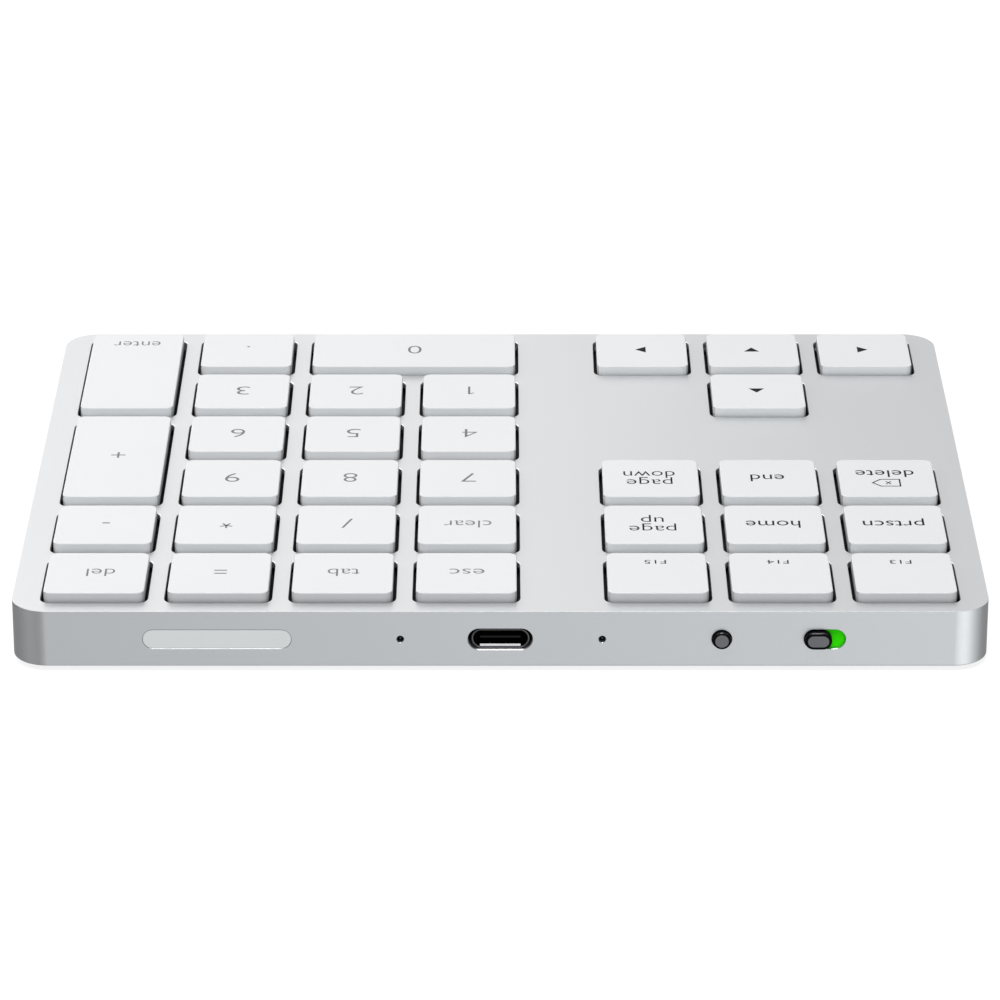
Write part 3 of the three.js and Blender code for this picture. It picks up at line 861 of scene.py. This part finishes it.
def make_layers():
    """The support plate with its hooks for the links, the membrane, and a black film round the domes that
    paints the shade in the wells between the keys.
    """
    low, high, centre, _ = box("support_plate")
    plate = sheet("support_plate", "support_plate_sheet", STEEL, SHEET_CORNER, 0.05 * MM)
    through = [(0, low.z - 1 * MM), (0, high.z + 1 * MM)]
    cutters, hooks = bmesh.new(), bmesh.new()
    ribbon_slot = (centre_of("ribbon_cable").x, centre.y + 51 * MM)
    stack(cutters, lying, ribbon_slot, mm(12, 2), 0.6 * MM, through, 4)
    for node in KEY_NODES:
        for x, y in link_spots(node):
            for side in SIDES:
                stack(cutters, lying, (x + side * 2.6 * MM, y + 6.3 * MM), mm(2.4, 1.2), 0.3 * MM, through, 3)
                for end, out in ((-1, 5.1), (1, 3.9)):
                    peg(hooks, (x + side * out * MM, y + end * LINK_LENGTH * 0.44), mm(0.5, 0.15),
                        (low.z + 0.1 * MM, high.z + 0.55 * MM))
    place(carve(plate, cutters), "steel", "support_plate")
    add("support_plate_hooks", hooks, STEEL, "steel")
    membrane = sheet("membrane_sheet", "membrane_film", FILM, SHEET_CORNER, 0.04 * MM)
    place(membrane, "film", "membrane_sheet")
    # A black film under the domes, as painted shade in the wells round the keys.
    mask = sheet("dome_sheet", "dome_sheet_painted_shade", PAINTED_SHADE_FILM, SHEET_CORNER, 0.04 * MM, 0.15 * MM)
    place(mask, "silicone")


# ------------------------ rear wall

SHELL_WALL = 0.3 * MM
TONGUE = mm(6.6, 0.7)
CONTACTS, CONTACT_PITCH = 12, 0.5 * MM
BUTTON_R, BUTTON_ROUND = mm(1.41, 0.26)
FACE_SINK = 0.02 * MM                        # how deep a button's rim lies below its end
BUTTON_FACE_INSET, KNOB_FACE_INSET = BUTTON_ROUND + 0.12 * MM, BUTTON_ROUND + 0.22 * MM
ON_COLOUR = mm(6.34, 3.18)                   # the green that fills the power slot
SWITCH_SLOT_HALF_Z = 0.7 * MM


def make_window():
    low, high, _, size = box("antenna_window")
    bm = bmesh.new()
    profile = [(0, low.y), *rounded(low.y, high.y, 0.06 * MM)[1:]]
    pill = (size.x, size.z - 0.04 * MM)
    stack(bm, upright, port_middle("antenna_window"), pill, size.z / 2, profile, 12)
    place(even(shape("antenna_window_pill", bm, WINDOW)), "window_plastic", "antenna_window")


def make_light(node):
    """A smoked light pipe, its domed end sunk in the wall and its collar behind it, with a small grey dot on
    the end as a painted glint.
    """
    low, high, _, size = box(node)
    middle = port_middle(node)
    pin, painted_glint, edge = mm(0.53, 0.14, 0.1)
    collar, shoulder, front = size.x / 2, low.y + 2 * MM, high.y - 0.4 * MM
    profile = [(collar - edge, low.y), (collar, low.y + edge), (collar, low.y + 1.9 * MM),
               (collar - edge, shoulder), (pin, shoulder)]
    for k in range(5):
        a = math.radians(18 * k)
        profile.append((pin * math.cos(a), front - 0.12 * MM * (1 - math.sin(a))))
    bm = bmesh.new()
    turned(bm, middle, profile + [(0, front)], 24, upright)
    add(f"{node}_lens", bm, LENS, "dark_lens", node)
    # The small grey dot proud of the domed end is a painted glint.
    bm = bmesh.new()
    turned(bm, middle, [(painted_glint, front - 0.1 * MM), (painted_glint, front + 0.02 * MM), (painted_glint * 0.6, front + 0.05 * MM)],
           12, upright)
    add(f"{node}_core", bm, LENS_PAINTED_GLINT)


def make_usb():
    """The port: its shell, the tongue with its contacts, and the shell's spring on the sill of the mouth."""
    low, high, _, size = box("usb_shell")
    middle = port_middle("usb_shell")
    lip, wall = 0.09 * MM, SHELL_WALL
    outside = [(0, low.y), (0, high.y - lip), (lip * 0.3, high.y - lip * 0.3), (lip, high.y)]
    inside = [(wall - lip, high.y), (wall - lip * 0.3, high.y - lip * 0.3), (wall, high.y - lip), (wall, low.y)]
    bm = bmesh.new()
    stack(bm, upright, middle, (size.x, size.z), size.z / 2, outside + inside, 12, closed=True)
    place(even(shape("usb_shell_tube", bm, PORT_STEEL)), "port_steel", "usb_shell")
    sill, front = low.z + wall - PORT_DROP, high.y - 0.05 * MM
    ramp = [(front, sill), (front - 0.26 * MM, sill + 0.25 * MM), (front - 0.35 * MM, sill + 0.25 * MM),
            (front - 0.7 * MM, sill)]

    low, high, _, size = box("usb_tongue")
    bm = bmesh.new()
    stack(bm, upright, middle, (size.x, size.z), size.z / 2, pillow(low.y, low.y + 1.7 * MM, 0.05 * MM, 2), 8)
    stack(bm, upright, middle, TONGUE, 0.12 * MM,
          [(0, low.y + 0.5 * MM), (0, high.y - 0.45 * MM), (0.2 * MM, high.y)], 4)
    add("usb_tongue_moulding", bm, BLACK, "black_plastic", "usb_tongue")
    bm = bmesh.new()
    for k in range(CONTACTS):
        x = middle[0] + (k - (CONTACTS - 1) / 2) * CONTACT_PITCH
        for side in SIDES:
            z = middle[1] + side * TONGUE[1] / 2
            brick(bm, (x - 0.12 * MM, low.y + 1.8 * MM, z - 0.03 * MM),
                  (x + 0.12 * MM, high.y - 1.4 * MM, z + 0.03 * MM), 0.01 * MM)
    add("usb_contacts", bm, GOLD)
    bm = bmesh.new()
    skin(bm, [[(middle[0] + side * 3.1 * MM, y, z) for y, z in ramp] for side in SIDES])
    add("usb_shell_spring", bm, SPRING_STEEL, "port_steel")


def button_front(front, face_inset):
    """A button's profile from its rounded edge to its face, which lies within a narrow black rim."""
    profile = rounded(front - 1 * MM, front - FACE_SINK, BUTTON_ROUND, 0, 4)[1:]
    return profile + [(face_inset, front - FACE_SINK), (face_inset, front - SKIN)]


def paint_button(piece, front):
    """A grey face on a black button whose face lies at a level along Y, and a painted glint: a more reflective
    copy of the black on the upper part of the rounded edge only.
    """
    repaint(piece, BUTTON_FACE, lambda spot, normal: spot.y > front - FACE_SINK * 0.75 and normal.y > 0.9)
    repaint(piece, BUTTON_TOP_PAINTED_GLINT, lambda _, normal: 0.1 < normal.y < 0.97 and normal.z > abs(normal.x) * 1.5)


def make_button():
    """The pairing button: black sides, a grey face inside a black rim, and a flange behind the wall."""
    low, high, _, size = box("pairing_button")
    middle = port_middle("pairing_button")
    bm = bmesh.new()
    stack(bm, upright, middle, (size.x - 2 * SKIN, size.z - 2 * SKIN), 1.5 * MM,
          pillow(low.y, low.y + 1.1 * MM, 0.1 * MM, 2), 8)
    front = [(BUTTON_R - inset, y) for inset, y in button_front(high.y, BUTTON_FACE_INSET)]
    turned(bm, middle, [(BUTTON_R, low.y + 0.9 * MM), *front], 40, upright)
    button = shape("pairing_button_cap", bm, BUTTON_SIDE)
    paint_button(button, high.y)
    place(button, "button_plastic", "pairing_button", body="pairing_button")


def make_power_switch():
    """The knob and its stem, the plate behind the slot with its green end, and the switch on the board."""
    low, high, centre, size = box("power_knob")
    middle = port_middle("power_knob")
    plate_low, plate_high, plate, _ = box("power_on_indicator")
    body_low, body_high, body, _ = box("power_switch_body")
    head = plate_high.y + 0.1 * MM
    bm = bmesh.new()
    profile = [(0.05 * MM, head), (0, head + 0.05 * MM)] + button_front(high.y, KNOB_FACE_INSET)
    stack(bm, upright, middle, (size.x - SKIN, size.z - SKIN), size.z / 2, profile, 12)
    stem_x = centre.x + 1 * MM
    half_x, half_z = 0.4 * MM - SKIN, 0.6 * MM - SKIN
    brick(bm, (stem_x - half_x, low.y, centre.z - half_z),
          (stem_x + half_x, head + 0.3 * MM, centre.z + half_z))
    knob = shape("power_knob_cap", bm, BUTTON_SIDE)
    paint_button(knob, high.y)
    place(knob, "button_plastic", "power_knob", body="power_knob")

    def slotted(piece, start, end):
        """Cuts the slot that the stem slides in, between two levels along Y."""
        cutters = bmesh.new()
        brick(cutters, (stem_x - 2.5 * MM, start, middle[1] - SWITCH_SLOT_HALF_Z),
              (stem_x + 0.5 * MM, end, middle[1] + SWITCH_SLOT_HALF_Z))
        return carve(piece, cutters)

    plate_y = body_high.y + 1.1 * MM
    backing = block("power_on_plate", BLACK, plate_low, (plate_high.x, plate_y, plate_high.z), 0.1 * MM)
    place(slotted(backing, plate_low.y - 1 * MM, plate_y + 1 * MM))

    bm = bmesh.new()
    stack(bm, upright, (plate.x, middle[1]), ON_COLOUR, ON_COLOUR[1] / 2,
          [(0, plate_y - 0.1 * MM), (0, plate_high.y - 0.08 * MM), (0.08 * MM, plate_high.y)], 10)
    insert = shape("power_on_colour", bm, GREEN)
    cutters = bmesh.new()
    brick(cutters, (centre.x - 1.05 * MM, plate_y - 1 * MM, plate_low.z - 1 * MM),
          (plate_high.x, plate_high.y + 1 * MM, plate_high.z + 1 * MM))
    insert = slotted(carve(insert, cutters), plate_y - 1 * MM, plate_high.y + 1 * MM)
    place(insert, "green_plastic", "power_on_indicator")

    housing = block("power_switch_housing", BLACK, body_low, body_high, 0.1 * MM)
    housing = slotted(housing, body_low.y + 1.7 * MM, body_high.y + 1 * MM)
    place(housing, "black_plastic", "power_switch_body")
    bm = bmesh.new()
    for k in range(-2, 3):
        x = body.x + k * 1.6 * MM
        brick(bm, (x - 0.25 * MM, body_low.y - 0.5 * MM, body_low.z - 0.02 * MM),
              (x + 0.25 * MM, body_low.y + 0.3 * MM, body_low.z + 0.35 * MM), 0.04 * MM)
    add("power_switch_pins", bm, TINPLATE)


def make_tact_switch():
    """A small switch whose plunger meets the pairing button."""
    low, high, centre, _ = box("pairing_tact_switch")
    plunger, edge = mm(0.8, 0.1)
    bm = bmesh.new()
    brick(bm, low, (high.x, low.y + 2.7 * MM, high.z), edge)
    turned(bm, (centre.x, centre_of("usb_shell").z),
           [(plunger, low.y + 2 * MM), (plunger, high.y - edge), (plunger - edge, high.y)], 24, upright)
    add("pairing_tact_body", bm, BLACK, "black_plastic", "pairing_tact_switch")
    place(block("pairing_tact_cover", TINPLATE, (low.x + 0.1 * MM, low.y + 2.65 * MM, low.z + 0.2 * MM),
                (high.x - 0.1 * MM, low.y + 2.95 * MM, high.z - 0.1 * MM), 0.06 * MM))


# ------------------------ electronics

BOARD_THICKNESS = 0.8 * MM
# X, Y, width, depth and height in millimetres, and the pins on each side
CHIPS = ((5, 40, 7, 7, 0.9, 12), (-12, 38, 4, 4, 0.8, 6), (20, 44, 3.2, 2.5, 1, 3), (-26, 40, 5, 3, 0.7, 5))
LEAD_R = 0.4 * MM


def make_board():
    low, _, _, _ = box("main_board")
    top = low.z + BOARD_THICKNESS
    panel = sheet("main_board", "main_board_panel", CIRCUIT, 0.8 * MM, 0.06 * MM, BOARD_THICKNESS, 4)
    place(panel, "board", "main_board")
    y0 = centre_of("top_case").y
    bodies, legs, metal = bmesh.new(), bmesh.new(), bmesh.new()
    for x, y, w, d, h, pins in CHIPS:
        cx, cy = x * MM, y * MM + y0
        peg(bodies, (cx, cy), (w / 2 * MM, d / 2 * MM), (top - 0.02 * MM, top + h * MM), 0.08 * MM)
        for k in range(pins):
            t = (k + 0.5) / pins - 0.5
            for side in SIDES:
                peg(legs, (cx + side * w / 2 * MM, cy + t * d * MM), mm(0.25, 0.12),
                    (top - 0.01 * MM, top + 0.18 * MM), 0.03 * MM)
    for row in range(3):
        for k in range(9):
            x, y = (-46 + k * 4.2 + row * 1.3) * MM, (36.5 + row * 3.1) * MM + y0
            if any(abs(x - c[0] * MM) < 5 * MM and abs(y - y0 - c[1] * MM) < 5 * MM for c in CHIPS):
                continue
            peg(bodies, (x, y), mm(0.3, 0.25), (top, top + 0.35 * MM))
            for side in SIDES:
                peg(metal, (x + side * 0.42 * MM, y), mm(0.14, 0.26),
                    (top - 0.01 * MM, top + 0.37 * MM), 0.03 * MM)
    peg(bodies, (-16 * MM, 46 * MM + y0), mm(7, 1.5), (top - 0.02 * MM, top + 1.2 * MM), 0.1 * MM)
    for node in LIGHT_PIPES:
        peg(metal, (centre_of(node).x, 52.3 * MM + y0), mm(0.8, 0.7), (top - 0.02 * MM, top + 1.8 * MM))
    add("board_chips", bodies, BLACK)
    add("board_pins", legs, TINPLATE)
    add("board_terminals", metal, TINPLATE)


def make_module():
    """The wireless module: a small board with a shield can and a comb of an antenna."""
    low, high, _, _ = box("wireless_module")
    carrier = block("module_carrier", CIRCUIT, low, (high.x, high.y, low.z + BOARD_THICKNESS))
    place(carrier, "board", "wireless_module")
    place(block("module_can", TINPLATE, (low.x + 1 * MM, low.y + 1 * MM, low.z + 0.75 * MM),
                (low.x + 13 * MM, low.y + 9 * MM, high.z), 0.15 * MM), "shield")
    bm = bmesh.new()
    trace_low, trace_high = low.z + 0.78 * MM, low.z + 0.84 * MM
    for k in range(6):
        x = low.x + 13.8 * MM + k * 1.1 * MM
        brick(bm, (x - 0.15 * MM, low.y + 3 * MM, trace_low),
              (x + 0.15 * MM, high.y - 1 * MM, trace_high), 0.01 * MM)
    brick(bm, (low.x + 13.5 * MM, high.y - 1.4 * MM, trace_low),
          (high.x - 0.5 * MM, high.y - 1 * MM, trace_high), 0.01 * MM)
    add("module_antenna", bm, GOLD)


def make_battery():
    """The pouch with a strip of tape on its end, and two leads to a socket on the board."""
    low, high, centre, _ = box("battery_pack")
    pouch = sheet("battery_pack", "battery_pouch", FOIL, 2 * MM, 0.7 * MM, edge_steps=4)
    place(even(pouch), "battery", "battery_pack")
    place(block("battery_tape", TAPE, (low.x + 1 * MM, high.y - 5 * MM, low.z + 0.3 * MM),
                (high.x - 1 * MM, high.y - 0.2 * MM, high.z + 0.1 * MM), 0.2 * MM))
    y0 = centre_of("top_case").y
    z = centre.z
    for k, (name, look) in enumerate((("red", WIRE_RED), ("black", BLACK))):
        x = centre.x + k * 1.6 * MM
        path = [(x, high.y - 0.5 * MM, z), (x, high.y + 3 * MM, z), (x + 2 * MM, high.y + 7 * MM, z + 0.4 * MM),
                (x + 2 * MM, 35.5 * MM + y0, z + 0.6 * MM), (x + 2 * MM, 37.5 * MM + y0, z + 0.3 * MM)]
        place(wire(f"battery_lead_{name}", path, LEAD_R, look))
    top = box("main_board")[0].z + BOARD_THICKNESS
    place(block("battery_socket", LINK_BLACK, (centre.x + 0.5 * MM, 37 * MM + y0, top - 0.02 * MM),
                (centre.x + 5.5 * MM, 40 * MM + y0, top + 1.6 * MM)))


def make_ribbon():
    """A flat cable that leaves the film, turns down through the plate and ends in the board's socket."""
    low, high, _, _ = box("ribbon_cable")
    half, bend = mm(0.07, 0.7)
    path = [(high.y - half - back, z) for back, z in rounded(high.z, low.z + half, bend, steps=5)]
    path.append((low.y, low.z + half))
    rings = []
    for k, (y, z) in enumerate(path):
        before, after = path[max(k - 1, 0)], path[min(k + 1, len(path) - 1)]
        along = Vector((after[0] - before[0], after[1] - before[1])).normalized()
        out = Vector((-along.y, along.x)) * half * 0.95
        rings.append([(low.x, y + out.x, z + out.y), (high.x, y + out.x, z + out.y),
                      (high.x, y - out.x, z - out.y), (low.x, y - out.x, z - out.y)])
    bm = bmesh.new()
    skin(bm, rings)
    add("ribbon_strip", bm, FILM, "film", "ribbon_cable")


# ------------------------ studio

FLOOR_TONE, FLOOR_GLOW = 0.2, 0.83
WHITE = (0.99, 0.995, 1)
COOL = (0.945, 0.98, 1)
AMBIENT = (0.203, 0.204, 0.205)
# (azimuth from +Y towards -X, elevation), inner and outer angle, strength, tint
GLOWS = [
    ((150, 30), 10, 60, 0.362, WHITE),
    ((180, 60), 10, 40, 0.254, WHITE),
    ((25, -14), 4, 45, 0.73, COOL),
    ((55, -14), 4, 50, 0.45, COOL),
    ((-60, 20), 10, 50, 0.528, WHITE),
    ((0, 90), 10, 60, 0.14, WHITE),
]
# name, place, side of the square, power
SOFTBOXES = [
    ("overhead", (0, 0.407, 0.914), 0.377, 5.6),
    ("side_back", (0.4, -0.25, 0.45), 0.4, 0.55),
    ("side_low", (0.42, -0.3, 0.25), 0.3, 0.95),
    ("far_back", (0.18, -0.7, 0.4), 0.5, 0.36),
]


def make_floor():
    """A pale floor a hair below the feet, lit from within to come near white."""
    bm = bmesh.new()
    bmesh.ops.create_grid(bm, x_segments=8, y_segments=8, size=2.5)
    grey = (FLOOR_TONE,) * 3
    look = Look("floor_paint", grey, 0.8, Emission_Color=(1, 1, 1, 1), Emission_Strength=FLOOR_GLOW)
    look.tone(look.noise(3, 2), grey, tuple(c * 1.02 for c in grey))
    floor = shape("floor", bm, look.material)
    floor.location.z = cad_low.z - 0.02 * MM
    floor.visible_glossy = False


def softbox(name, spot, side, power):
    """A square area light that faces the origin."""
    data = bpy.data.lights.new(name, "AREA")
    data.shape = "RECTANGLE"
    data.size = data.size_y = side
    data.energy = power
    lamp = show(name, data)
    lamp.location = spot
    lamp.rotation_euler = (Vector() - Vector(spot)).to_track_quat("-Z", "Y").to_euler()


def glow(nodes, total, direction, inner, outer, strength, tint):
    """Adds a soft round glow: full within the inner angle of a direction, and none past the outer one."""
    azimuth, elevation = (math.radians(a) for a in direction)
    level = math.cos(elevation)
    aim = (-math.sin(azimuth) * level, math.cos(azimuth) * level, math.sin(elevation))
    where = nodes.new("ShaderNodeTexCoord").outputs["Generated"]
    dot = reckon(nodes, "ShaderNodeVectorMath", "DOT_PRODUCT", where, aim)
    fade = nodes.new("ShaderNodeMapRange")
    fade.interpolation_type = "SMOOTHSTEP"
    fill(fade, From_Min=math.cos(math.radians(outer)), From_Max=math.cos(math.radians(inner)), To_Max=strength,
         Value=dot.outputs["Value"])
    light = fade.outputs["Result"]
    return reckon(nodes, "ShaderNodeVectorMath", "MULTIPLY_ADD", light, tint, total).outputs["Vector"]


def make_studio():
    """The floor, a grey sky with soft glows in it, and the softboxes."""
    make_floor()
    world = bpy.data.worlds.new("studio")
    world.use_nodes = True
    nodes = world.node_tree.nodes
    total = AMBIENT
    for lit in GLOWS:
        total = glow(nodes, total, *lit)
    fill(nodes["Background"], Color=total)
    world.cycles.sampling_method = "NONE"
    bpy.context.scene.world = world
    bpy.context.scene.view_settings.view_transform = "Standard"
    for lamp in SOFTBOXES:
        softbox(*lamp)


# ------------------------ assembly

make_top_case()
make_bottom()
for node in KEY_NODES:
    make_keycap(node)
    make_dome(node)
    make_links(node)
for key in LEGENDS:
    make_legend(key)
make_one()
make_asterisk()
for key, direction in (("up", (0, 1)), ("down", (0, -1)), ("left", (-1, 0)), ("right", (1, 0))):
    make_arrow(f"arrow_{key}", direction)
make_erase_symbol()
for key, along in (("0", "x"), ("plus", "y"), ("enter", "y")):
    make_stabiliser(key, along)
make_layers()
make_window()
for node in LIGHT_PIPES:
    make_light(node)
make_usb()
make_button()
make_power_switch()
make_tact_switch()
make_board()
make_module()
make_battery()
make_ribbon()
make_studio()
